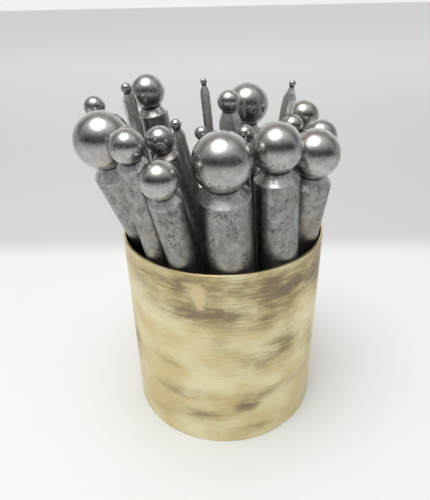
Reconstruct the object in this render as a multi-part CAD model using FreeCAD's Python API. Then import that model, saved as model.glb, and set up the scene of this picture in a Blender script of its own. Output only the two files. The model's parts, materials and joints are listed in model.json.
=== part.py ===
import FreeCAD, Part

import itertools
import math
import os
from dataclasses import dataclass, replace
from functools import cached_property

# A graded set of steel doming punches standing heads-up in a straight brass
# cup.  Millimetres, +Z up, origin at the centre of the cup's underside.

# Cup.
CUP_OUTER_DIAMETER = 63.5
CUP_HEIGHT = 65.5
CUP_WALL = 0.8
CUP_BASE_THICKNESS = 1.5
RIM_EDGE_BREAK = 0.15

# Turned punches: the ball stands on a short neck, and a cone widens from the
# neck to a shank that is nearly as thick as the ball.
NECK_TO_BALL = 0.55
SHANK_TO_BALL = 0.92
SMALLEST_SHANK = 3.5
SHOULDER_HALF_ANGLE = math.radians(42.0)
STRUCK_END_BREAK = 0.12

# The smallest punches are left as eight-sided bar, with a longer point.
BAR_SIDES = 8
BAR_NECK_TO_BALL = 0.62
BAR_HALF_ANGLE = math.radians(22.0)

# A punch stands this far above the cup's base, so nothing rubs.
SEAT_CLEARANCE = 0.3

# Settling the set.  Punches are nudged apart until each is clear of the others
# and of the cup, standing and lifted out.  A head gives way less than a foot.
# The lift height brings a foot just above the rim.
PUNCH_CLEARANCE = 0.3
WALL_CLEARANCE = 0.35
LIFT_HEIGHT = 67.0
HEAD_GIVE = 0.1
NUDGE_SHARE = 0.6
SETTLED_WITHIN = 0.02
MOST_SWEEPS = 1000
BALL_CORE = 0.1

# Lifts at the two ends of a punch's way, as shares of its travel, for each
# pair of punches that must pass: one of them moves, or both are lifted out.
STANDING = (0.0, 0.0)
LIFTED = (1.0, 1.0)
ALL_THE_WAY = (0.0, 1.0)
MEETINGS = ((ALL_THE_WAY, STANDING), (STANDING, ALL_THE_WAY), (LIFTED, LIFTED))

PARTS_FOLDER = "parts"


@dataclass(frozen=True)
class Punch:
    """One punch: its ball and length, and where its foot and head are.

    Seat and head are (x, y) places seen from above, in the cup's own axes.
    A bar size makes the shank an eight-sided bar of that width across corners.
    """

    name: str
    ball: float
    length: float
    seat: tuple
    head: tuple
    bar: float = 0.0

    @property
    def ball_radius(self):
        return self.ball / 2.0

    @property
    def shank_radius(self):
        if self.bar:
            return self.bar / 2.0
        return max(self.ball * SHANK_TO_BALL, SMALLEST_SHANK) / 2.0

    @property
    def ball_height(self):
        """Height of the ball's centre above the struck end, along the punch."""
        return self.length - self.ball_radius

    @property
    def neck_radius(self):
        return self.ball_radius * (BAR_NECK_TO_BALL if self.bar else NECK_TO_BALL)

    @property
    def neck_height(self):
        """Height where the ball sits on the neck."""
        return self.ball_height - math.sqrt(self.ball_radius**2 - self.neck_radius**2)

    @property
    def shoulder_height(self):
        """Height of the wide end of the cone that leads up to the neck."""
        half_angle = BAR_HALF_ANGLE if self.bar else SHOULDER_HALF_ANGLE
        return self.neck_height - (self.shank_radius - self.neck_radius) / math.tan(half_angle)

    @cached_property
    def bulks(self):
        """(low end, high end, radius) along the centre line, of the shank and the ball."""
        shank = (0.0, self.shoulder_height, self.shank_radius)
        ball = (self.ball_height - BALL_CORE, self.ball_height, self.ball_radius)
        return shank, ball

    @cached_property
    def axis(self):
        """Unit vector from the struck end to the ball."""
        lean_x = (self.head[0] - self.seat[0]) / self.ball_height
        lean_y = (self.head[1] - self.seat[1]) / self.ball_height
        upright = math.sqrt(1.0 - lean_x**2 - lean_y**2)
        return FreeCAD.Vector(lean_x, lean_y, upright)

    @cached_property
    def foot(self):
        """Centre of the struck end: a leaning punch stands on one edge of it."""
        sideways = math.sqrt(1.0 - self.axis.z**2)
        height = CUP_BASE_THICKNESS + SEAT_CLEARANCE + self.shank_radius * sideways
        return FreeCAD.Vector(self.seat[0], self.seat[1], height)

    @cached_property
    def travel(self):
        """How far the punch slides along its own line until it is out of the cup."""
        return LIFT_HEIGHT / self.axis.z

    def spot(self, distance):
        """Point on the centre line at a distance above the struck end."""
        return self.foot + self.axis * distance


# Largest ball first.  Seats and heads are where each punch is dropped in,
# before the set is settled.
PUNCHES = (
    Punch("punch_01", ball=15.5, length=108, seat=(-6, 13), head=(-31, -15)),
    Punch("punch_02", ball=15.0, length=102, seat=(6, -12), head=(0, -29)),
    Punch("punch_03", ball=13.5, length=99, seat=(19, 6), head=(26, -15)),
    Punch("punch_04", ball=13.0, length=102, seat=(20, -12), head=(14, -23)),
    Punch("punch_05", ball=13.0, length=105, seat=(1, 24), head=(8, 12)),
    Punch("punch_06", ball=10.0, length=110, seat=(-10, 24), head=(-22, 6)),
    Punch("punch_07", ball=9.5, length=102, seat=(-3, 0), head=(-15, -35)),
    Punch("punch_08", ball=9.5, length=101, seat=(12, 23), head=(25, 9)),
    Punch("punch_09", ball=9.5, length=99, seat=(20, 17), head=(28, -4)),
    Punch("punch_10", ball=8.5, length=107, seat=(-12, 1), head=(-22, -30)),
    Punch("punch_11", ball=7.5, length=104, seat=(9, 0), head=(-16, -18)),
    Punch("punch_12", ball=6.5, length=100, seat=(12, 14), head=(20, -3)),
    Punch("punch_13", ball=6.0, length=108, seat=(-16, 16), head=(-36, -3)),
    Punch("punch_14", ball=6.0, length=108, seat=(9, 8), head=(2, -9), bar=6.5),
    Punch("punch_15", ball=5.5, length=108, seat=(3, 7), head=(-24, -22)),
    Punch("punch_16", ball=4.5, length=101, seat=(17, -3), head=(6, -17)),
    Punch("punch_17", ball=3.5, length=103, seat=(13, -3), head=(-5, -20)),
    Punch("punch_18", ball=3.0, length=110, seat=(-16, 22), head=(-26, 0), bar=4.0),
    Punch("punch_19", ball=3.0, length=105, seat=(6, 13), head=(-12, -13), bar=3.5),
    Punch("punch_20", ball=2.0, length=108, seat=(4, 15), head=(-5, 6), bar=3.0),
    Punch("punch_21", ball=2.0, length=109, seat=(7, 18), head=(20, 1), bar=4.0),
)


def clamped(share):
    """Keep a share of a line's length between its ends."""
    return min(1.0, max(0.0, share))


def nearest_shares(first, second):
    """Return how far along each of two lines, from 0 to 1, they come nearest."""
    along_first = first[1] - first[0]
    along_second = second[1] - second[0]
    apart = first[0] - second[0]
    square_first = along_first.dot(along_first)
    square_second = along_second.dot(along_second)
    both = along_first.dot(along_second)
    apart_first = along_first.dot(apart)
    apart_second = along_second.dot(apart)
    skew = square_first * square_second - both**2
    share_first = clamped((both * apart_second - apart_first * square_second) / skew)
    share_second = clamped((both * share_first + apart_second) / square_second)
    return clamped((both * share_second - apart_first) / square_first), share_second


def reach(bulk, lifts, travel):
    """Return the ends of a bulk's way between two lifts, as shares of the travel."""
    low, high, _ = bulk
    return low + lifts[0] * travel, high + lifts[1] * travel


def add_nudge(nudge, punch, distance, push_x, push_y):
    """Add to (seat x, seat y, head x, head y) what moves one spot of a punch."""
    head_share = distance / punch.ball_height
    foot_share = 1.0 - head_share
    firmness = foot_share**2 + HEAD_GIVE * head_share**2
    foot_weight = foot_share / firmness
    head_weight = HEAD_GIVE * head_share / firmness
    for place, weight in ((0, foot_weight), (2, head_weight)):
        nudge[place] += weight * push_x
        nudge[place + 1] += weight * push_y


def part_pair(first, second, nudges):
    """Nudge two punches apart, and return how far they were short of clear."""
    worst = 0.0
    for (lifts_first, lifts_second), bulk_first, bulk_second in itertools.product(
        MEETINGS, first.bulks, second.bulks
    ):
        reach_first = reach(bulk_first, lifts_first, first.travel)
        reach_second = reach(bulk_second, lifts_second, second.travel)
        line_first = [first.spot(distance) for distance in reach_first]
        line_second = [second.spot(distance) for distance in reach_second]
        share_first, share_second = nearest_shares(line_first, line_second)
        distance_first = reach_first[0] + (reach_first[1] - reach_first[0]) * share_first
        distance_second = reach_second[0] + (reach_second[1] - reach_second[0]) * share_second
        apart = first.spot(distance_first) - second.spot(distance_second)
        short = bulk_first[-1] + bulk_second[-1] + PUNCH_CLEARANCE - apart.Length
        if short > 0.0:
            push = apart * (short / apart.Length / 2.0)
            add_nudge(nudges[first.name], first, distance_first, push.x, push.y)
            add_nudge(nudges[second.name], second, distance_second, -push.x, -push.y)
            worst = max(worst, short)
    return worst


def keep_in_cup(punch, nudges):
    """Nudge a punch off the cup's wall, and return how far it was short of clear."""
    inner_radius = CUP_OUTER_DIAMETER / 2.0 - CUP_WALL
    room = inner_radius - WALL_CLEARANCE - punch.shank_radius / punch.axis.z
    worst = 0.0
    for height in (punch.foot.z, CUP_HEIGHT):
        distance = (height - punch.foot.z) / punch.axis.z
        spot = punch.spot(distance)
        short = math.hypot(spot.x, spot.y) - room
        if short > 0.0:
            inwards = -short / (room + short)
            add_nudge(nudges[punch.name], punch, distance, spot.x * inwards, spot.y * inwards)
            worst = max(worst, short)
    return worst


def nudged(punch, nudge):
    """Return a punch with its seat and head moved by a share of its nudge."""
    places = [place + NUDGE_SHARE * amount for place, amount in zip(punch.seat + punch.head, nudge)]
    return replace(punch, seat=tuple(places[:2]), head=tuple(places[2:]))


def settled(punches):
    """Nudge the punches apart, a little at a time, until all of them are clear."""
    for _ in range(MOST_SWEEPS):
        nudges = {punch.name: [0.0] * 4 for punch in punches}
        shorts = [part_pair(first, second, nudges) for first, second in itertools.combinations(punches, 2)]
        shorts += [keep_in_cup(punch, nudges) for punch in punches]
        if max(shorts) < SETTLED_WITHIN:
            return punches
        punches = [nudged(punch, nudges[punch.name]) for punch in punches]
    raise RuntimeError("the punches don't settle clear of each other")


def shank_stations(punch):
    """Return (radius, height) from the struck end up to the neck."""
    edge_break = punch.shank_radius * STRUCK_END_BREAK
    return (
        (punch.shank_radius - edge_break, 0.0),
        (punch.shank_radius, edge_break),
        (punch.shank_radius, punch.shoulder_height),
        (punch.neck_radius, punch.neck_height),
    )


def turned_punch(punch):
    """A round punch, spun in one piece from its half outline."""
    outline = [FreeCAD.Vector(0, 0, 0)]
    outline += [FreeCAD.Vector(radius, 0, height) for radius, height in shank_stations(punch)]
    ball_side = FreeCAD.Vector(punch.ball_radius, 0, punch.ball_height)
    ball_top = FreeCAD.Vector(0, 0, punch.length)
    edges = [Part.makeLine(a, b) for a, b in zip(outline, outline[1:])]
    edges.append(Part.Arc(outline[-1], ball_side, ball_top).toShape())
    edges.append(Part.makeLine(ball_top, outline[0]))
    face = Part.Face(Part.Wire(edges))
    return face.revolve(FreeCAD.Vector(0, 0, 0), FreeCAD.Vector(0, 0, 1), 360)


def bar_section(corner_radius, height):
    """An eight-sided outline with its corners on a circle."""
    corners = []
    for side in range(BAR_SIDES + 1):
        angle = 2.0 * math.pi * (side + 0.5) / BAR_SIDES
        x = corner_radius * math.cos(angle)
        y = corner_radius * math.sin(angle)
        corners.append(FreeCAD.Vector(x, y, height))
    return Part.makePolygon(corners)


def bar_punch(punch):
    """An eight-sided punch: flat-sided bar and point, with a round ball."""
    sections = [bar_section(radius, height) for radius, height in shank_stations(punch)]
    bar = Part.makeLoft(sections, True, True)
    ball_centre = FreeCAD.Vector(0, 0, punch.ball_height)
    return bar.fuse(Part.makeSphere(punch.ball_radius, ball_centre))


def standing(shape, punch):
    """Lean a punch made along +Z over and stand it on its place in the cup."""
    turn = FreeCAD.Rotation(FreeCAD.Vector(0, 0, 1), punch.axis)
    shape.Placement = FreeCAD.Placement(punch.foot, turn)
    return shape


def cup_wall():
    """A straight open tube with both edges of the rim lightly broken."""
    outer_radius = CUP_OUTER_DIAMETER / 2.0
    tube = Part.makeCylinder(outer_radius, CUP_HEIGHT)
    tube = tube.cut(Part.makeCylinder(outer_radius - CUP_WALL, CUP_HEIGHT))
    rim = [edge for edge in tube.Edges if edge.BoundBox.ZMin > CUP_HEIGHT - RIM_EDGE_BREAK]
    return tube.makeChamfer(RIM_EDGE_BREAK, rim)


def cup_base():
    """The disc that closes the tube, flush with its lower end."""
    return Part.makeCylinder(CUP_OUTER_DIAMETER / 2.0 - CUP_WALL, CUP_BASE_THICKNESS)


def write_part(name, shape):
    """Write one sub-part as a STEP file named after it."""
    shape.exportStep(os.path.join(PARTS_FOLDER, name + ".step"))


def main():
    """Build the cup and every settled punch, and write one STEP file each."""
    os.makedirs(PARTS_FOLDER, exist_ok=True)
    write_part("cup_wall", cup_wall())
    write_part("cup_base", cup_base())
    for punch in settled(PUNCHES):
        shape = bar_punch(punch) if punch.bar else turned_punch(punch)
        write_part(punch.name, standing(shape, punch))


main()
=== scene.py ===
"""Looks for a graded set of steel doming punches standing in a brass cup.

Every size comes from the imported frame, in metres.  Each punch is rebuilt in
its own coordinates, with its struck end at the origin and its ball up +Z,
and is then leaned over into the place that its frame node holds.
"""

import json
import logging
import math
from collections.abc import Callable, Iterable
from dataclasses import dataclass
from enum import Enum

import bmesh
import bpy
from mathutils import Matrix, Vector


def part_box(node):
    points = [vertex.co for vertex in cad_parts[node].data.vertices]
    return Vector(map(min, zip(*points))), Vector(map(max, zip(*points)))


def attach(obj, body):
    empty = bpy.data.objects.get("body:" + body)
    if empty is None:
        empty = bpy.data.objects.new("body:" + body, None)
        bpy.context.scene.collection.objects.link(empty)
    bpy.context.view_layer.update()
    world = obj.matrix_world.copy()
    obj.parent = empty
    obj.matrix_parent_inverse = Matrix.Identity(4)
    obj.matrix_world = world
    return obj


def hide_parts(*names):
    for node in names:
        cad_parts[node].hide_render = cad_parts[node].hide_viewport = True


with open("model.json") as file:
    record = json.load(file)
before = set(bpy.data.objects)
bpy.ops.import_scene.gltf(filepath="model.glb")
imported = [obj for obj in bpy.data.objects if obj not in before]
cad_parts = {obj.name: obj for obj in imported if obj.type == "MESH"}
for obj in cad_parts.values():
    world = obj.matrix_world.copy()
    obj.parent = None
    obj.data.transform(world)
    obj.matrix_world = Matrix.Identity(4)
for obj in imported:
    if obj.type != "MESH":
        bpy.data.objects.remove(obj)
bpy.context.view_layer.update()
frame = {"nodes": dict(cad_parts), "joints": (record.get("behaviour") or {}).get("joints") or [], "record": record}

LOG = logging.getLogger("punch_set")

MM = 0.001
PER_MM = 1000.0
UP = Vector((0.0, 0.0, 1.0))

# Names of the values that the meshes carry for their finishes.
PLACE = "place"
AXIS = "axis"
ABOVE_SHOULDER = "above_shoulder"
ABOVE_NECK = "above_neck"
TARNISH = "tarnish"
SCRAPED = "scraped"

# Edges that turn by more than this stay crisp.
CRISP_ANGLE = math.radians(28.0)
MERGE_DISTANCE = 1e-7
BEVEL_PROFILE = 0.5
FULL_TURN = 360.0
MATRIX_SIZE = 4

# Sockets of Blender's colour mixing node.
MIX_SHARE = 0
MIX_FIRST = 6
MIX_SECOND = 7
MIX_OUTCOME = 2

Colour = tuple[float, float, float, float]
Station = tuple[float, float]

BLACK: Colour = (0.0, 0.0, 0.0, 1.0)


class Slot(Enum):
    """Material slots of the record."""

    TUBE = "brass_tube"
    SHEET = "brass_sheet"
    TURNED = "turned_steel"
    BAR = "bar_steel"


# --------------------------------------------------------------------------
# Finishes
# --------------------------------------------------------------------------


@dataclass(frozen=True)
class Pattern:
    """A cloudy pattern, by the size of its patches along each axis in millimetres."""

    size: tuple[float, float, float]
    detail: float = 3.0
    rough: float = 0.55


@dataclass(frozen=True)
class Step:
    """A smooth step from one outcome to another as a value climbs."""

    start: float
    end: float
    low: float = 0.0
    high: float = 1.0


class Bench:
    """Lays out the nodes of one tree and wires each as it is made."""

    def __init__(self, tree: bpy.types.NodeTree) -> None:
        """Take over a node tree.

        Args:
            tree: The tree to lay out.
        """
        self.tree = tree

    def feed(self, socket: bpy.types.NodeSocket, value: object) -> None:
        """Link a socket to an output, or set its own value.

        Args:
            socket: The input to feed.
            value: An output socket, a number or a colour.
        """
        if isinstance(value, bpy.types.NodeSocket):
            self.tree.links.new(value, socket)
        else:
            socket.default_value = value

    def node(self, kind: str, inputs: dict[str | int, object], **options: object) -> bpy.types.Node:
        """Add one node.

        Args:
            kind: Blender's type name of the node.
            inputs: What feeds each input, by its name or number.
            **options: The node's own settings.

        Returns:
            The new node.
        """
        made = self.tree.nodes.new(kind)
        for option, value in options.items():
            setattr(made, option, value)
        for key, value in inputs.items():
            self.feed(made.inputs[key], value)
        return made

    def carried(self, name: str) -> bpy.types.NodeSocket:
        """Return a single number that the mesh carries."""
        return self.node("ShaderNodeAttribute", {}, attribute_name=name).outputs["Fac"]

    def carried_way(self, name: str) -> bpy.types.NodeSocket:
        """Return a direction or place that the mesh carries."""
        return self.node("ShaderNodeAttribute", {}, attribute_name=name).outputs["Vector"]

    def object_place(self) -> bpy.types.NodeSocket:
        """Return the object's coordinates in millimetres."""
        where = self.node("ShaderNodeTexCoord", {}).outputs["Object"]
        return self.scaled(where, (PER_MM, PER_MM, PER_MM))

    def scaled(self, vector: object, scale: tuple[float, float, float]) -> bpy.types.NodeSocket:
        """Return a vector stretched along each axis.

        Args:
            vector: The vector to stretch.
            scale: How much, along each axis.

        Returns:
            The stretched vector.
        """
        inputs = {0: vector, 1: scale}
        return self.node("ShaderNodeVectorMath", inputs, operation="MULTIPLY").outputs["Vector"]

    def cloud(self, place: object, pattern: Pattern) -> bpy.types.NodeSocket:
        """Return a cloudy pattern.

        Args:
            place: Coordinates in millimetres.
            pattern: The size and roughness of its patches.

        Returns:
            The pattern, mostly between 0.3 and 0.7.
        """
        across, deep, high = pattern.size
        where = self.scaled(place, (1.0 / across, 1.0 / deep, 1.0 / high))
        inputs = {"Vector": where, "Scale": 1.0, "Detail": pattern.detail, "Roughness": pattern.rough}
        return self.node("ShaderNodeTexNoise", inputs).outputs["Fac"]

    def sums(self, operation: str, first: object, second: object) -> bpy.types.NodeSocket:
        """Return the outcome of one sum on two numbers.

        Args:
            operation: Blender's name of the sum.
            first: The first number or output.
            second: The second number or output.

        Returns:
            The outcome.
        """
        return self.node("ShaderNodeMath", {0: first, 1: second}, operation=operation).outputs["Value"]

    def graded(self, value: object, step: Step) -> bpy.types.NodeSocket:
        """Return a number that goes smoothly from one outcome to another.

        Args:
            value: The number to grade.
            step: Where it changes, and between what.

        Returns:
            The graded number.
        """
        inputs = {"Value": value, "From Min": step.start, "From Max": step.end}
        inputs |= {"To Min": step.low, "To Max": step.high}
        return self.node("ShaderNodeMapRange", inputs, interpolation_type="SMOOTHSTEP").outputs["Result"]

    def mixed(self, share: object, first: object, second: object) -> bpy.types.NodeSocket:
        """Return a blend of two colours.

        Args:
            share: How much of the second colour.
            first: The first colour.
            second: The second colour.

        Returns:
            The blended colour.
        """
        blend = self.node("ShaderNodeMix", {}, data_type="RGBA")
        self.feed(blend.inputs[MIX_SHARE], share)
        self.feed(blend.inputs[MIX_FIRST], first)
        self.feed(blend.inputs[MIX_SECOND], second)
        return blend.outputs[MIX_OUTCOME]

    def raised(self, height: object, depth: float, under: object = None) -> bpy.types.NodeSocket:
        """Return the normals of a surface with fine relief.

        Args:
            height: The relief, from 0 to 1.
            depth: How deep it is, in metres.
            under: The normals of a relief that this one lies on.

        Returns:
            The normals.
        """
        inputs = {"Height": height, "Distance": depth}
        if under is not None:
            inputs["Normal"] = under
        return self.node("ShaderNodeBump", inputs).outputs["Normal"]


class MaterialBench(Bench):
    """A bench with one material on it."""

    def __init__(self, name: str) -> None:
        """Start a material.

        Args:
            name: The material's name.
        """
        self.material = bpy.data.materials.new(name)
        self.material.use_nodes = True
        super().__init__(self.material.node_tree)

    def shader(self, name: str, value: object) -> None:
        """Set or feed one input of the surface's shader.

        Args:
            name: The input's name.
            value: An output socket, a number or a colour.
        """
        self.feed(self.tree.nodes["Principled BSDF"].inputs[name], value)


@dataclass(frozen=True)
class SteelFinish:
    """Satin tool steel: mottled, pitted and ringed by turning, with grime and painted shade in the neck's crevice
    and a painted highlight along the shoulder's edge.

    It reads how far each point lies above the shoulder and above the neck.
    """

    name: str
    bright: Colour
    dull: Colour
    roughness: float
    stretch: float
    pit_share: float = 0.8
    warm: Colour = (0.38, 0.31, 0.26, 1.0)
    # Pale colour along the shoulder's edge: partly polished wear, partly a painted highlight.
    edge: Colour = (0.8, 0.79, 0.77, 1.0)
    pit: Colour = (0.06, 0.054, 0.047, 1.0)
    # Dark colour in the neck's crevice: partly grime, partly painted shade.
    neck_grime_and_shade: Colour = (0.04, 0.035, 0.03, 1.0)
    pit_roughness: float = 0.2
    fine_depth: float = 0.005 * MM
    ring_depth: float = 0.008 * MM
    pit_depth: float = 0.03 * MM
    mottle: Pattern = Pattern((1.9, 1.9, 2.6), 6.0, 0.7)
    mottle_step: Step = Step(0.33, 0.67)
    rings: Pattern = Pattern((7.0, 7.0, 0.5), 4.0, 0.6)
    rings_step: Step = Step(0.35, 0.65, 0.0, 0.3)
    stains: Pattern = Pattern((8.0, 8.0, 8.0), 5.0, 0.6)
    stains_step: Step = Step(0.5, 0.7, 0.0, 0.4)
    fine: Pattern = Pattern((0.6, 0.6, 0.6), 4.0, 0.65)
    fine_step: Step = Step(0.3, 0.7, -0.04, 0.05)
    dots: Pattern = Pattern((0.5, 0.5, 0.5), 2.0, 0.6)
    dots_step: Step = Step(0.48, 0.6)
    clusters: Pattern = Pattern((3.0, 3.0, 4.2), 5.0, 0.68)
    clusters_step: Step = Step(0.48, 0.62)
    pits_fade: Step = Step(3.0, 9.0, 1.0, 0.2)
    # Share of the pale edge colour by distance from the shoulder, in millimetres: partly wear, partly painted
    # highlight.
    edge_highlight_step: Step = Step(0.0, 0.3, 0.55, 0.0)
    # Share of grime and painted shade by distance from the neck, in millimetres.
    neck_grime_and_shade_step: Step = Step(0.0, 0.5, 0.95, 0.0)

    def material(self) -> bpy.types.Material:
        """Return the material, with every pattern in the punch's own coordinates.

        Returns:
            The material.
        """
        bench = MaterialBench(self.name)
        place = bench.scaled(bench.carried_way(PLACE), (PER_MM, PER_MM, PER_MM))
        above_neck = bench.sums("MULTIPLY", bench.carried(ABOVE_NECK), PER_MM)
        pits = bench.sums("MULTIPLY", self.pits(bench, place), bench.graded(above_neck, self.pits_fade))
        rings = bench.cloud(place, self.rings)
        fine = bench.cloud(place, self.fine)
        pitting = bench.sums("MULTIPLY", pits, self.pit_share)
        pitted = bench.mixed(pitting, self.bare(bench, place, rings), self.pit)
        # Darken the neck's crevice: partly grime, partly painted shade.
        crevice = bench.graded(bench.sums("ABSOLUTE", above_neck, 0.0), self.neck_grime_and_shade_step)
        bench.shader("Base Color", bench.mixed(crevice, pitted, self.neck_grime_and_shade))
        bench.shader("Metallic", 1.0)
        bench.shader("Anisotropic", self.stretch)
        bench.shader("Tangent", bench.carried_way(AXIS))
        varied = bench.sums("ADD", self.roughness, bench.graded(fine, self.fine_step))
        bench.shader("Roughness", bench.sums("ADD", varied, bench.sums("MULTIPLY", pits, self.pit_roughness)))
        worked = bench.raised(rings, self.ring_depth, bench.raised(fine, self.fine_depth))
        bench.shader("Normal", bench.raised(bench.sums("SUBTRACT", 1.0, pits), self.pit_depth, worked))
        return bench.material

    def pits(self, bench: Bench, place: bpy.types.NodeSocket) -> bpy.types.NodeSocket:
        """Return where the small corrosion pits are, gathered in clusters.

        Args:
            bench: The material's bench.
            place: The punch's own coordinates in millimetres.

        Returns:
            1 in a pit and 0 outside it.
        """
        dots = bench.graded(bench.cloud(place, self.dots), self.dots_step)
        clusters = bench.graded(bench.cloud(place, self.clusters), self.clusters_step)
        return bench.sums("MULTIPLY", dots, clusters)

    def bare(
        self, bench: Bench, place: bpy.types.NodeSocket, rings: bpy.types.NodeSocket
    ) -> bpy.types.NodeSocket:
        """Return the steel's colour before it is pitted.

        Args:
            bench: The material's bench.
            place: The punch's own coordinates in millimetres.
            rings: The marks left by turning.

        Returns:
            The colour.
        """
        mottle = bench.graded(bench.cloud(place, self.mottle), self.mottle_step)
        mottled = bench.mixed(mottle, self.dull, self.bright)
        ringed = bench.mixed(bench.graded(rings, self.rings_step), mottled, self.dull)
        stains = bench.graded(bench.cloud(place, self.stains), self.stains_step)
        stained = bench.mixed(stains, ringed, self.warm)
        # Lighten the shoulder's edge: partly polished wear, partly a painted highlight.
        above_shoulder = bench.sums("MULTIPLY", bench.carried(ABOVE_SHOULDER), PER_MM)
        worn = bench.graded(bench.sums("ABSOLUTE", above_shoulder, 0.0), self.edge_highlight_step)
        return bench.mixed(worn, stained, self.edge)


SHANK_STEEL = SteelFinish(
    name="shank_steel",
    bright=(0.46, 0.453, 0.438, 1.0),
    dull=(0.25, 0.245, 0.235, 1.0),
    roughness=0.36,
    stretch=0.85,
)

# The cone's steel is far paler than the shank's: partly its smoother turned finish, partly a painted highlight in
# place of a light in front.
CONE_STEEL_PAINTED_BRIGHT = SteelFinish(
    name="cone_steel_painted_bright",
    bright=(0.92, 0.91, 0.89, 1.0),
    dull=(0.48, 0.47, 0.455, 1.0),
    roughness=0.33,
    stretch=0.95,
    pit_share=0.5,
)

BALL_STEEL = SteelFinish(
    name="ball_steel",
    bright=(0.55, 0.543, 0.53, 1.0),
    dull=(0.38, 0.372, 0.36, 1.0),
    roughness=0.25,
    stretch=0.2,
    pit_share=0.85,
)

BAR_STEEL = SteelFinish(
    name="bar_steel",
    bright=(0.85, 0.84, 0.82, 1.0),
    dull=(0.55, 0.54, 0.52, 1.0),
    roughness=0.34,
    stretch=0.8,
    pit_share=0.4,
)


@dataclass(frozen=True)
class BrassFinish:
    """Brushed brass with soft brown tarnish and pale scraped places, in patches."""

    name: str
    straw: Colour = (0.84, 0.78, 0.52, 1.0)
    gold: Colour = (0.7, 0.58, 0.3, 1.0)
    brown: Colour = (0.37, 0.285, 0.15, 1.0)
    purple: Colour = (0.24, 0.19, 0.15, 1.0)
    cream: Colour = (0.78, 0.64, 0.38, 1.0)
    speck: Colour = (0.2, 0.15, 0.1, 1.0)
    clean_roughness: float = 0.36
    dull_roughness: float = 0.5
    stretch: float = 0.5
    brush_depth: float = 0.02 * MM
    brushing: Pattern = Pattern((8.0, 8.0, 0.45), 4.0, 0.65)
    brushing_step: Step = Step(0.3, 0.7, -0.26, 0.26)
    brushing_tint: Step = Step(0.25, 0.75, -0.1, 0.25)
    brushing_shine: Step = Step(0.3, 0.7, 0.06, -0.06)
    clouds: Pattern = Pattern((15.0, 15.0, 11.0), 4.0, 0.5)
    clouds_step: Step = Step(0.3, 0.7)
    ragged: Pattern = Pattern((7.0, 7.0, 3.5), 5.0, 0.6)
    ragged_step: Step = Step(0.3, 0.7, -0.3, 0.3)
    tarnish_spread: float = 0.25
    tarnish_step: Step = Step(-0.1, 1.9, 0.0, 1.0)
    purple_step: Step = Step(0.8, 2.4, 0.0, 0.8)
    scraped_step: Step = Step(0.3, 0.85, 0.0, 0.9)
    dots: Pattern = Pattern((0.8, 0.8, 0.6), 2.0, 0.55)
    dots_step: Step = Step(0.68, 0.76, 0.0, 0.5)

    def material(self) -> bpy.types.Material:
        """Return the material, in the cup's own coordinates.

        Returns:
            The material.
        """
        bench = MaterialBench(self.name)
        place = bench.object_place()
        brushing = bench.cloud(place, self.brushing)
        streaks = bench.graded(brushing, self.brushing_step)
        ragged = bench.graded(bench.cloud(place, self.ragged), self.ragged_step)
        uneven = bench.sums("ADD", ragged, streaks)
        strength = bench.carried(TARNISH)
        swing = bench.sums("MULTIPLY", uneven, bench.sums("ADD", strength, self.tarnish_spread))
        dull = bench.sums("ADD", strength, swing)
        tarnish = bench.graded(dull, self.tarnish_step)
        scraped = bench.graded(bench.sums("ADD", bench.carried(SCRAPED), uneven), self.scraped_step)
        clouds = bench.graded(bench.cloud(place, self.clouds), self.clouds_step)
        tinted = bench.sums("ADD", clouds, bench.graded(brushing, self.brushing_tint))
        clean = bench.mixed(tinted, self.straw, self.gold)
        browned = bench.mixed(tarnish, clean, self.brown)
        darkened = bench.mixed(bench.graded(dull, self.purple_step), browned, self.purple)
        rubbed = bench.mixed(scraped, darkened, self.cream)
        specks = bench.graded(bench.cloud(place, self.dots), self.dots_step)
        bench.shader("Base Color", bench.mixed(specks, rubbed, self.speck))
        bench.shader("Metallic", 1.0)
        bench.shader("Anisotropic", self.stretch)
        bench.shader("Tangent", bench.carried_way(AXIS))
        worn = bench.graded(tarnish, Step(0.0, 1.0, self.clean_roughness, self.dull_roughness))
        bench.shader("Roughness", bench.sums("ADD", worn, bench.graded(brushing, self.brushing_shine)))
        bench.shader("Normal", bench.raised(brushing, self.brush_depth))
        return bench.material


@dataclass(frozen=True)
class ShadedInsideBrassFinish:
    """Brass darkened all over and uneven: some dark patina, and painted shade for the cup's inside."""

    name: str
    light: Colour = (0.2, 0.16, 0.1, 1.0)
    dark: Colour = (0.07, 0.055, 0.038, 1.0)
    grain_depth: float = 0.02 * MM
    clouds: Pattern = Pattern((8.0, 8.0, 8.0), 6.0, 0.65)
    clouds_step: Step = Step(0.35, 0.65)
    shine_step: Step = Step(0.3, 0.7, 0.65, 0.45)
    grain: Pattern = Pattern((0.6, 0.6, 0.6), 4.0, 0.55)

    def material(self) -> bpy.types.Material:
        """Return the material, in the cup's own coordinates.

        Returns:
            The material.
        """
        bench = MaterialBench(self.name)
        place = bench.object_place()
        clouds = bench.cloud(place, self.clouds)
        bench.shader("Base Color", bench.mixed(bench.graded(clouds, self.clouds_step), self.dark, self.light))
        bench.shader("Metallic", 1.0)
        bench.shader("Roughness", bench.graded(clouds, self.shine_step))
        bench.shader("Normal", bench.raised(bench.cloud(place, self.grain), self.grain_depth))
        return bench.material


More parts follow.
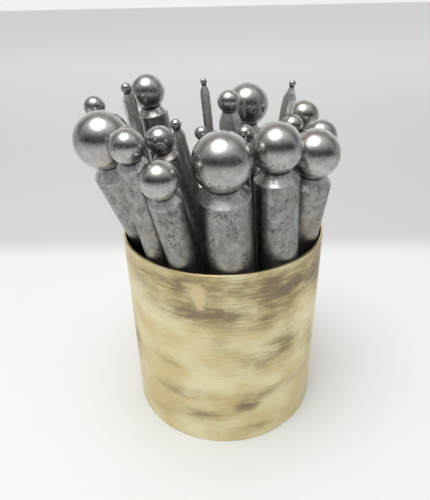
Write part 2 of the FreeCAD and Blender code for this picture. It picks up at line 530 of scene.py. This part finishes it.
@dataclass(frozen=True)
class FloorFinish:
    """A plain pale sheet, a little greyer behind the object and paler again far off."""

    name: str
    near: Colour = (0.79, 0.8, 0.795, 1.0)
    behind: Colour = (0.6, 0.6, 0.605, 1.0)
    far: Colour = (0.97, 0.97, 0.97, 1.0)
    behind_step: Step = Step(86.0, 116.0)
    far_step: Step = Step(100.0, 900.0)
    grain_depth: float = 0.02 * MM
    grain: Pattern = Pattern((1.2, 1.2, 1.2), 4.0, 0.55)
    shine_step: Step = Step(0.3, 0.7, 0.55, 0.7)

    def material(self) -> bpy.types.Material:
        """Return the material, in the floor's own coordinates.

        Returns:
            The material.
        """
        bench = MaterialBench(self.name)
        place = bench.object_place()
        depth = bench.node("ShaderNodeSeparateXYZ", {0: place}).outputs["Y"]
        back = bench.mixed(bench.graded(depth, self.far_step), self.behind, self.far)
        bench.shader("Base Color", bench.mixed(bench.graded(depth, self.behind_step), self.near, back))
        grain = bench.cloud(place, self.grain)
        bench.shader("Roughness", bench.graded(grain, self.shine_step))
        bench.shader("Normal", bench.raised(grain, self.grain_depth))
        return bench.material


# --------------------------------------------------------------------------
# Shapes
# --------------------------------------------------------------------------


def spun(outline: Iterable[Station], steps: int, closed: bool = False) -> bmesh.types.BMesh:
    """Spin a half outline about +Z into one closed skin.

    Args:
        outline: Its (radius, height) points in order.
        steps: How many steps make the whole turn.
        closed: Whether its last point joins its first.

    Returns:
        The skin, facing outwards.
    """
    skin = bmesh.new()
    corners = [skin.verts.new((radius, 0.0, height)) for radius, height in outline]
    for start, end in zip(corners, corners[1:]):
        skin.edges.new((start, end))
    if closed:
        skin.edges.new((corners[-1], corners[0]))
    bmesh.ops.spin(
        skin,
        geom=skin.verts[:] + skin.edges[:],
        cent=(0.0, 0.0, 0.0),
        axis=UP,
        steps=steps,
        angle=math.tau,
        use_merge=True,
    )
    bmesh.ops.remove_doubles(skin, verts=skin.verts, dist=MERGE_DISTANCE)
    bmesh.ops.recalc_face_normals(skin, faces=skin.faces)
    return skin


def softened(
    skin: bmesh.types.BMesh, wanted: Callable[[bmesh.types.BMEdge], bool], width: float, segments: int = 3
) -> None:
    """Round off the edges that a test picks.

    Args:
        skin: The skin to change.
        wanted: Tells whether an edge is rounded.
        width: How far the rounding reaches from the edge.
        segments: How many strips make it.
    """
    bmesh.ops.bevel(
        skin,
        geom=[edge for edge in skin.edges if wanted(edge)],
        offset=width,
        affect="EDGES",
        segments=segments,
        profile=BEVEL_PROFILE,
        material=-1,
        clamp_overlap=True,
    )


def turns_by(edge: bmesh.types.BMEdge, angle: float) -> bool:
    """Return whether the two faces at an edge turn by more than an angle."""
    return edge.is_manifold and edge.calc_face_angle() > angle


def finished(name: str, skin: bmesh.types.BMesh) -> bpy.types.Object:
    """Turn a skin into a smooth object with crisp sharp edges.

    Args:
        name: The object's name.
        skin: The skin, which is used up.

    Returns:
        The object, at the origin.
    """
    for face in skin.faces:
        face.smooth = True
    for edge in skin.edges:
        edge.smooth = not turns_by(edge, CRISP_ANGLE)
    mesh = bpy.data.meshes.new(name)
    skin.to_mesh(mesh)
    skin.free()
    piece = bpy.data.objects.new(name, mesh)
    bpy.context.scene.collection.objects.link(piece)
    shading = piece.modifiers.new("even_shading", "WEIGHTED_NORMAL")
    shading.keep_sharp = True
    return piece


def carry_numbers(mesh: bpy.types.Mesh, name: str, numbers: list[float]) -> None:
    """Write one number onto each corner of a mesh, for its finish to read.

    Args:
        mesh: The mesh.
        name: The name that the finish reads.
        numbers: The numbers, in the order of the corners.
    """
    mesh.attributes.new(name, "FLOAT", "POINT").data.foreach_set("value", numbers)


def carry_ways(mesh: bpy.types.Mesh, name: str, ways: list[Vector]) -> None:
    """Write one direction or place onto each corner of a mesh, for its finish to read.

    Args:
        mesh: The mesh.
        name: The name that the finish reads.
        ways: The directions, in the order of the corners.
    """
    flat = [part for way in ways for part in way]
    mesh.attributes.new(name, "FLOAT_VECTOR", "POINT").data.foreach_set("vector", flat)


def seat(piece: bpy.types.Object, body: str, node: str) -> None:
    """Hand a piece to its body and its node.

    Args:
        piece: The finished piece.
        body: The body that it moves with.
        node: The frame node that it stands for.
    """
    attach(piece, body)
    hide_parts(node)
    LOG.info("%s stands for %s with %d faces", piece.name, node, len(piece.data.polygons))


# --------------------------------------------------------------------------
# Punches
# --------------------------------------------------------------------------


@dataclass(frozen=True)
class PunchSizes:
    """What the frame says of one punch: its place, its lean and its sizes."""

    foot: Vector
    axis: Vector
    length: float
    shank_radius: float
    ball_radius: float

    @classmethod
    def measured(cls, node: str, axis: Vector) -> "PunchSizes":
        """Measure a punch on its frame node.

        Args:
            node: The node's name.
            axis: The punch's own axis, towards the ball.

        Returns:
            Its sizes.
        """
        corners = [vertex.co for vertex in frame["nodes"][node].data.vertices]
        pole = max(corners, key=axis.dot)
        length = pole.dot(axis) - min(corner.dot(axis) for corner in corners)
        foot = pole - axis * length
        lower = [corner - foot for corner in corners if (corner - foot).dot(axis) < length / 2.0]
        shank_radius = max(corner.cross(axis).length for corner in lower)
        on_ball = min(corners, key=lambda corner: abs((corner - pole).length - shank_radius / 2.0))
        ball_radius = (on_ball - pole).length_squared / (2.0 * (pole - on_ball).dot(axis))
        return cls(foot, axis, length, shank_radius, ball_radius)

    @property
    def ball_height(self) -> float:
        """Height of the ball's centre above the struck end, along the punch."""
        return self.length - self.ball_radius

    @property
    def placing(self) -> Matrix:
        """The move that leans the punch over into its place."""
        return Matrix.Translation(self.foot) @ UP.rotation_difference(self.axis).to_matrix().to_4x4()


@dataclass
class Punch:
    """A doming punch: a ball on a short neck, a cone shoulder and a shank."""

    name: str
    sizes: PunchSizes
    serial: int
    neck_to_ball: float = 0.55
    half_angle: float = math.radians(42.0)
    struck_end_break: float = 0.12
    ball_steps: int = 22
    crevice_reach: float = 0.1 * MM
    serial_spacing: float = 250.0 * MM

    @property
    def neck_radius(self) -> float:
        """Radius where the ball meets the cone."""
        return self.sizes.ball_radius * self.neck_to_ball

    @property
    def neck_height(self) -> float:
        """Height where the ball meets the cone."""
        return self.sizes.ball_height - math.sqrt(self.sizes.ball_radius**2 - self.neck_radius**2)

    @property
    def shoulder_height(self) -> float:
        """Height of the cone's wide end."""
        return self.neck_height - (self.sizes.shank_radius - self.neck_radius) / math.tan(self.half_angle)

    def shank_stations(self) -> list[Station]:
        """Return the outline from the struck end's edge to the cone's top.

        Returns:
            Its (radius, height) points.
        """
        radius = self.sizes.shank_radius
        edge_break = radius * self.struck_end_break
        near_neck = self.crevice_reach / (self.neck_height - self.shoulder_height)
        near_radius = self.neck_radius + (radius - self.neck_radius) * near_neck
        return [
            (radius - edge_break, 0.0),
            (radius, edge_break),
            (radius, self.shoulder_height),
            (near_radius, self.neck_height - self.crevice_reach),
        ]

    def ball_stations(self) -> list[Station]:
        """Return the outline of the ball, from the neck to just below the pole.

        Returns:
            Its (radius, height) points.
        """
        radius = self.sizes.ball_radius
        start = -math.acos(self.neck_to_ball)
        climb = (math.pi / 2.0 - start) / self.ball_steps
        middle = self.sizes.ball_height
        angles = [start + climb * step for step in range(self.ball_steps)]
        return [(radius * math.cos(angle), middle + radius * math.sin(angle)) for angle in angles]

    def skin(self) -> bmesh.types.BMesh:
        """Return the punch's skin in its own coordinates."""
        raise NotImplementedError

    def mark(self, mesh: bpy.types.Mesh) -> None:
        """Write onto the mesh what its finish reads at each point.

        Args:
            mesh: The punch's mesh, still in its own coordinates.
        """
        shift = UP * self.serial * self.serial_spacing
        places = [vertex.co.copy() for vertex in mesh.vertices]
        carry_ways(mesh, PLACE, [place + shift for place in places])
        carry_ways(mesh, AXIS, [self.sizes.axis for _ in places])
        carry_numbers(mesh, ABOVE_SHOULDER, [place.z - self.shoulder_height for place in places])
        carry_numbers(mesh, ABOVE_NECK, [place.z - self.neck_height for place in places])
        for face in mesh.polygons:
            face.material_index = (face.center.z > self.shoulder_height) + (face.center.z > self.neck_height)

    def build(self) -> bpy.types.Object:
        """Build the punch and lean it into its place.

        Returns:
            The punch's object.
        """
        piece = finished(self.name + "_steel", self.skin())
        self.mark(piece.data)
        piece.data.transform(self.sizes.placing)
        return piece

    def dress(self, piece: bpy.types.Object, slot: Slot, steels: Iterable[bpy.types.Material]) -> None:
        """Give the punch its steels and hand it to its body.

        Args:
            piece: The built punch.
            slot: The record's slot for its finish. Not used.
            steels: The finishes of its shank, its cone and its ball.
        """
        for steel in steels:
            piece.data.materials.append(steel)
        seat(piece, self.name, self.name)


@dataclass
class TurnedPunch(Punch):
    """A round punch, turned in one piece."""

    turn_steps: int = 80
    shoulder_softening: float = 0.25 * MM

    def skin(self) -> bmesh.types.BMesh:
        """Spin the punch and round its shoulder's edge by wear.

        Returns:
            The skin.
        """
        outline = [(0.0, 0.0), *self.shank_stations(), *self.ball_stations(), (0.0, self.sizes.length)]
        skin = spun(outline, self.turn_steps)
        softened(skin, self.is_shoulder, self.shoulder_softening)
        return skin

    def is_shoulder(self, edge: bmesh.types.BMEdge) -> bool:
        """Return whether an edge lies where the cone meets the shank."""
        return all(abs(vertex.co.z - self.shoulder_height) < MERGE_DISTANCE for vertex in edge.verts)


@dataclass
class BarPunch(Punch):
    """A punch made from eight-sided bar, with a long faceted point."""

    neck_to_ball: float = 0.62
    half_angle: float = math.radians(22.0)
    sides: int = 8
    steps_per_side: int = 4
    neck_roundness: float = 0.5
    corner_softening: float = 0.12 * MM
    shortest_corner: float = 0.25

    def reach(self, angle: float, radius: float, roundness: float) -> float:
        """Return how far a section reaches from the axis.

        Args:
            angle: The direction, about the axis.
            radius: The section's radius at its corners.
            roundness: 0 for eight flats, 1 for a circle.

        Returns:
            The distance from the axis.
        """
        side = math.tau / self.sides
        off_flat = (angle + side / 2.0) % side - side / 2.0
        flat = radius * math.cos(side / 2.0) / math.cos(off_flat)
        return flat + (radius - flat) * roundness

    def shaped(self, ring: Iterable[bmesh.types.BMVert], station: Station, roundness: float) -> None:
        """Move a ring of points onto one section of the punch.

        Args:
            ring: The points.
            station: The section's (radius, height).
            roundness: 0 for eight flats, 1 for a circle.
        """
        radius, height = station
        for vertex in ring:
            angle = math.atan2(vertex.co.y, vertex.co.x)
            reach = self.reach(angle, radius, roundness)
            vertex.co = (reach * math.cos(angle), reach * math.sin(angle), height)

    def skin(self) -> bmesh.types.BMesh:
        """Draw the punch up section by section from the struck end.

        Returns:
            The skin.
        """
        bar = [(station, 0.0) for station in self.shank_stations()]
        bar[-1] = (bar[-1][0], self.neck_roundness)
        sections = bar + [(station, 1.0) for station in self.ball_stations()]
        skin = bmesh.new()
        steps = self.sides * self.steps_per_side
        bmesh.ops.create_circle(skin, cap_ends=True, segments=steps, radius=self.sizes.shank_radius)
        ring = skin.verts[:]
        edges = skin.edges[:]
        self.shaped(ring, *sections[0])
        for station, roundness in sections[1:]:
            drawn = bmesh.ops.extrude_edge_only(skin, edges=edges)["geom"]
            ring = [part for part in drawn if isinstance(part, bmesh.types.BMVert)]
            edges = [part for part in drawn if isinstance(part, bmesh.types.BMEdge)]
            edges = [edge for edge in edges if all(vertex in ring for vertex in edge.verts)]
            self.shaped(ring, station, roundness)
        tip = bmesh.ops.extrude_edge_only(skin, edges=edges)["geom"]
        tip = [part for part in tip if isinstance(part, bmesh.types.BMVert)]
        bmesh.ops.pointmerge(skin, verts=tip, merge_co=(0.0, 0.0, self.sizes.length))
        bmesh.ops.recalc_face_normals(skin, faces=skin.faces)
        softened(skin, self.is_corner, self.corner_softening, segments=2)
        return skin

    def is_corner(self, edge: bmesh.types.BMEdge) -> bool:
        """Return whether an edge is a long corner of the bar or its point."""
        low, high = sorted(vertex.co.z for vertex in edge.verts)
        return high - low > self.sizes.shank_radius * self.shortest_corner and turns_by(edge, CRISP_ANGLE)


# --------------------------------------------------------------------------
# Cup
# --------------------------------------------------------------------------


@dataclass(frozen=True)
class Patch:
    """A soft-edged patch on the cup's wall.

    The angle is in degrees from the front, rightwards.  The height and the
    half sizes are in millimetres.
    """

    angle: float
    height: float
    half_width: float
    half_height: float
    share: float = 1.0

    def strength(self, angle: float, height: float, radius: float) -> float:
        """Return how strong the patch is at one point of the wall.

        Args:
            angle: The point's angle in degrees from the front.
            height: Its height in millimetres.
            radius: The wall's radius in millimetres.

        Returns:
            The patch's share at its middle, fading to 0 outside it.
        """
        turn = math.remainder(angle - self.angle, FULL_TURN)
        across = math.radians(turn) * radius / self.half_width
        up = (height - self.height) / self.half_height
        return self.share * math.exp(-(across**2) - up**2)


TARNISHED = (
    Patch(-26, 60, 24, 6, 0.95),
    Patch(-6, 52, 10, 4, 1.35),
    Patch(-34, 52, 12, 4, 0.6),
    Patch(12, 63, 34, 4, 0.55),
    Patch(30, 57, 9, 7, 1.25),
    Patch(24, 48, 10, 4, 0.85),
    Patch(66, 57, 7, 9, 1.4),
    Patch(48, 58, 9, 5, 0.7),
    Patch(-2, 43, 4, 5, 0.6),
    Patch(20, 34, 12, 6, 0.8),
    Patch(36, 38, 6, 5, 0.85),
    Patch(-68, 30, 5, 9, 1.2),
    Patch(-30, 31, 7, 2, 0.7),
    Patch(-26, 20, 12, 3, 0.95),
    Patch(-12, 12, 10, 3, 1.1),
    Patch(13, 16, 5, 2.5, 1.6),
    Patch(30, 20, 14, 2.5, 0.9),
    Patch(62, 30, 6, 8, 0.9),
    Patch(18, 5, 8, 2, 1.0),
    Patch(-45, 8, 10, 3, 0.5),
    Patch(100, 50, 14, 6, 0.9),
    Patch(125, 30, 10, 8, 0.7),
    Patch(160, 57, 16, 5, 0.9),
    Patch(185, 24, 14, 6, 0.7),
    Patch(215, 46, 13, 7, 0.9),
    Patch(250, 60, 12, 4, 0.8),
    Patch(262, 16, 9, 5, 0.7),
)

SCRAPED_BRIGHT = (
    Patch(-14, 60, 3.0, 2.5, 1.2),
    Patch(-12, 56, 1.7, 3.0, 1.1),
    Patch(-18, 16, 5, 2, 0.8),
    Patch(140, 60, 4, 3, 0.9),
    Patch(230, 30, 6, 3, 0.8),
)


@dataclass
class Cup:
    """A straight brass tube closed by a disc at its lower end."""

    radius: float
    inner_radius: float
    height: float
    base_thickness: float
    turn_steps: int = 144
    wall_bands: int = 36
    edge_break: float = 0.15 * MM
    floor_ring: float = 0.93

    @classmethod
    def measured(cls) -> "Cup":
        """Measure the cup on its frame nodes.

        Returns:
            The cup.
        """
        _, wall_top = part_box("cup_wall")
        _, base_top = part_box("cup_base")
        return cls(radius=wall_top.x, inner_radius=base_top.x, height=wall_top.z, base_thickness=base_top.z)

    def wall_outline(self) -> list[Station]:
        """Return the wall's closed outline, in even bands up its outside.

        Returns:
            Its (radius, height) points.
        """
        rise = self.height - 2.0 * self.edge_break
        outside = [self.edge_break + rise * band / self.wall_bands for band in range(self.wall_bands + 1)]
        return [
            (self.inner_radius, 0.0),
            (self.radius - self.edge_break, 0.0),
            *[(self.radius, height) for height in outside],
            (self.radius - self.edge_break, self.height),
            (self.inner_radius + self.edge_break, self.height),
            (self.inner_radius, self.height - self.edge_break),
        ]

    def build_wall(self) -> bpy.types.Object:
        """Build the wall, with its tarnish marked and its inside set apart.

        Returns:
            The wall's object.
        """
        skin = spun(self.wall_outline(), self.turn_steps, closed=True)
        for face in skin.faces:
            middle = face.calc_center_median()
            outwards = face.normal.dot(Vector((middle.x, middle.y, 0.0)))
            face.material_index = int(outwards < -self.radius / 2.0)
        piece = finished("cup_wall_brass", skin)
        self.mark(piece.data, TARNISH, TARNISHED)
        self.mark(piece.data, SCRAPED, SCRAPED_BRIGHT)
        carry_ways(piece.data, AXIS, [UP for _ in piece.data.vertices])
        return piece

    def mark(self, mesh: bpy.types.Mesh, name: str, patches: Iterable[Patch]) -> None:
        """Write onto the mesh how strong a set of patches is at each point.

        Args:
            mesh: The wall's mesh.
            name: The name that the finish reads.
            patches: The patches.
        """
        radius = self.radius * PER_MM
        strengths = []
        for vertex in mesh.vertices:
            angle = math.degrees(math.atan2(vertex.co.x, -vertex.co.y))
            height = vertex.co.z * PER_MM
            strengths.append(sum(patch.strength(angle, height, radius) for patch in patches))
        carry_numbers(mesh, name, strengths)

    def build_base(self) -> bpy.types.Object:
        """Build the base, with a shallow step where it was pressed in.

        Returns:
            The base's object.
        """
        ring = self.inner_radius * self.floor_ring
        step = self.edge_break
        outline = [
            (0.0, step),
            (ring - step, step),
            (ring, 0.0),
            (self.inner_radius, 0.0),
            (self.inner_radius, self.base_thickness),
            (0.0, self.base_thickness),
        ]
        return finished("cup_base_brass", spun(outline, self.turn_steps))

    def dress(
        self,
        wall: bpy.types.Object,
        base: bpy.types.Object,
        outside: bpy.types.Material,
        inside: bpy.types.Material,
    ) -> None:
        """Give the cup its brass and hand both pieces to its body.

        Args:
            wall: The built wall.
            base: The built base.
            outside: The finish of the wall's outside and rim.
            inside: The finish of the wall's inside and the base.
        """
        wall.data.materials.append(outside)
        wall.data.materials.append(inside)
        base.data.materials.append(inside)
        seat(wall, "cup", "cup_wall")
        seat(base, "cup", "cup_base")


# --------------------------------------------------------------------------
# Studio
# --------------------------------------------------------------------------


@dataclass(frozen=True)
class Lamp:
    """A round soft light aimed at a point."""

    name: str
    place: tuple[float, float, float]
    aim: tuple[float, float, float]
    size: float
    power: float

    def build(self) -> None:
        """Add the light to the scene."""
        light = bpy.data.lights.new(self.name, "AREA")
        light.shape = "DISK"
        light.size = self.size
        light.energy = self.power
        lamp = bpy.data.objects.new(self.name, light)
        lamp.location = self.place
        towards = Vector(self.aim) - Vector(self.place)
        lamp.rotation_euler = towards.to_track_quat("-Z", "Y").to_euler()
        bpy.context.scene.collection.objects.link(lamp)


@dataclass(frozen=True)
class Studio:
    """A pale floor, a pale room that is dark low in front, a soft light and a camera."""

    key: Lamp = Lamp("key_light", place=(-0.1, -0.16, 0.75), aim=(0.0, 0.0, 0.06), size=0.52, power=3.9)
    floor_half_width: float = 3.0
    floor_drop: float = 0.02 * MM
    camera_back: float = 137.1 * MM
    camera_up: float = 133.5 * MM
    camera_pitch: float = math.radians(29.68)
    camera_yaw: float = math.radians(-1.12)
    camera_roll: float = math.radians(-1.29)
    lens: float = 34.05
    sensor: float = 36.0
    room_strength: float = 1.3
    plain_tone: Colour = (0.68, 0.68, 0.68, 1.0)
    side_step: Step = Step(0.4, 0.95, 1.0, 0.4)

    def build(self) -> None:
        """Add everything that isn't part of the object."""
        self.build_floor()
        self.build_room()
        self.build_camera()
        self.key.build()
        bpy.context.scene.view_settings.view_transform = "Standard"

    def build_floor(self) -> None:
        """Add the floor, just clear of the cup's underside."""
        skin = bmesh.new()
        bmesh.ops.create_grid(skin, x_segments=1, y_segments=1, size=self.floor_half_width)
        bmesh.ops.translate(skin, verts=skin.verts, vec=(0.0, 0.0, -self.floor_drop))
        mesh = bpy.data.meshes.new("studio_floor")
        skin.to_mesh(mesh)
        skin.free()
        mesh.materials.append(FloorFinish("pale_sheet").material())
        floor = bpy.data.objects.new("studio_floor", mesh)
        bpy.context.scene.collection.objects.link(floor)

    def build_room(self) -> None:
        """Light the metal from behind and above, and show the camera a plain tone."""
        world = bpy.data.worlds.new("pale_room")
        world.use_nodes = True
        bpy.context.scene.world = world
        bench = Bench(world.node_tree)
        way = bench.node("ShaderNodeTexCoord", {}).outputs["Generated"]
        split = bench.node("ShaderNodeSeparateXYZ", {0: way}).outputs
        turn = bench.sums("ARCTAN2", split["Z"], split["Y"])
        ramp = bench.node("ShaderNodeValToRGB", {0: bench.sums("DIVIDE", turn, math.pi)})
        for place, tone in ROOM_TONES:
            ramp.color_ramp.elements.new(place).color = (*tone, 1.0)
        ramp.color_ramp.elements.remove(ramp.color_ramp.elements[0])
        ramp.color_ramp.elements.remove(ramp.color_ramp.elements[-1])
        background = world.node_tree.nodes["Background"]
        sides = bench.graded(bench.sums("ABSOLUTE", split["X"], 0.0), self.side_step)
        toned = bench.mixed(sides, BLACK, ramp.outputs["Color"])
        seen = bench.node("ShaderNodeLightPath", {}).outputs["Is Camera Ray"]
        bench.feed(background.inputs["Color"], bench.mixed(seen, toned, self.plain_tone))
        bench.feed(background.inputs["Strength"], self.room_strength)

    def build_camera(self) -> None:
        """Add the camera, looking down on the balls from the front."""
        lens = bpy.data.cameras.new("camera")
        lens.lens = self.lens
        lens.sensor_width = self.sensor
        camera = bpy.data.objects.new("camera", lens)
        turn = Matrix.Rotation(-self.camera_yaw, MATRIX_SIZE, "Z")
        turn @= Matrix.Rotation(math.pi / 2.0 - self.camera_pitch, MATRIX_SIZE, "X")
        turn @= Matrix.Rotation(self.camera_roll, MATRIX_SIZE, "Z")
        camera.matrix_world = Matrix.Translation((0.0, -self.camera_back, self.camera_up)) @ turn
        bpy.context.scene.collection.objects.link(camera)
        bpy.context.scene.camera = camera


# Tones of the room over half a turn, from the horizon behind the object (0),
# by way of overhead, to the horizon in front of it (1).
ROOM_TONES = (
    (0.02, (0.95, 0.95, 0.95)),
    (0.18, (0.72, 0.72, 0.72)),
    (0.33, (0.3, 0.265, 0.235)),
    (0.42, (0.55, 0.54, 0.53)),
    (0.5, (0.85, 0.85, 0.85)),
    (0.64, (0.7, 0.7, 0.7)),
    (0.74, (0.32, 0.32, 0.32)),
    (0.84, (0.05, 0.05, 0.05)),
    (0.96, (0.03, 0.03, 0.03)),
)


# --------------------------------------------------------------------------
# Assembly
# --------------------------------------------------------------------------


def slots() -> dict[str, Slot]:
    """Return each node's material slot, as the record gives it."""
    return {part["node"]: Slot(part["material_slot"]) for part in frame["record"]["subparts"]}


def build_cup() -> None:
    """Build and dress the cup."""
    cup = Cup.measured()
    outside = BrassFinish("brushed_brass").material()
    # The wall's inside and the base: dark patina and painted shade.
    inside = ShadedInsideBrassFinish("inside_brass_painted_shade").material()
    cup.dress(cup.build_wall(), cup.build_base(), outside, inside)


def build_punches() -> None:
    """Build and dress every punch that a joint of the frame lifts."""
    kinds = {Slot.TURNED: TurnedPunch, Slot.BAR: BarPunch}
    shank = SHANK_STEEL.material()
    cone = CONE_STEEL_PAINTED_BRIGHT.material()
    ball = BALL_STEEL.material()
    bar = BAR_STEEL.material()
    steels = {Slot.TURNED: (shank, cone, ball), Slot.BAR: (bar, bar, ball)}
    node_slots = slots()
    for serial, joint in enumerate(frame["joints"]):
        name = joint["child"]
        slot = node_slots[name]
        sizes = PunchSizes.measured(name, Vector(joint["axis"]).normalized())
        punch = kinds[slot](name, sizes, serial)
        punch.dress(punch.build(), slot, steels[slot])


def main() -> None:
    """Build the set and its studio."""
    logging.basicConfig(level=logging.INFO, format="%(name)s: %(message)s")
    Studio().build()
    build_cup()
    build_punches()


if __name__ == "__main__":
    main()
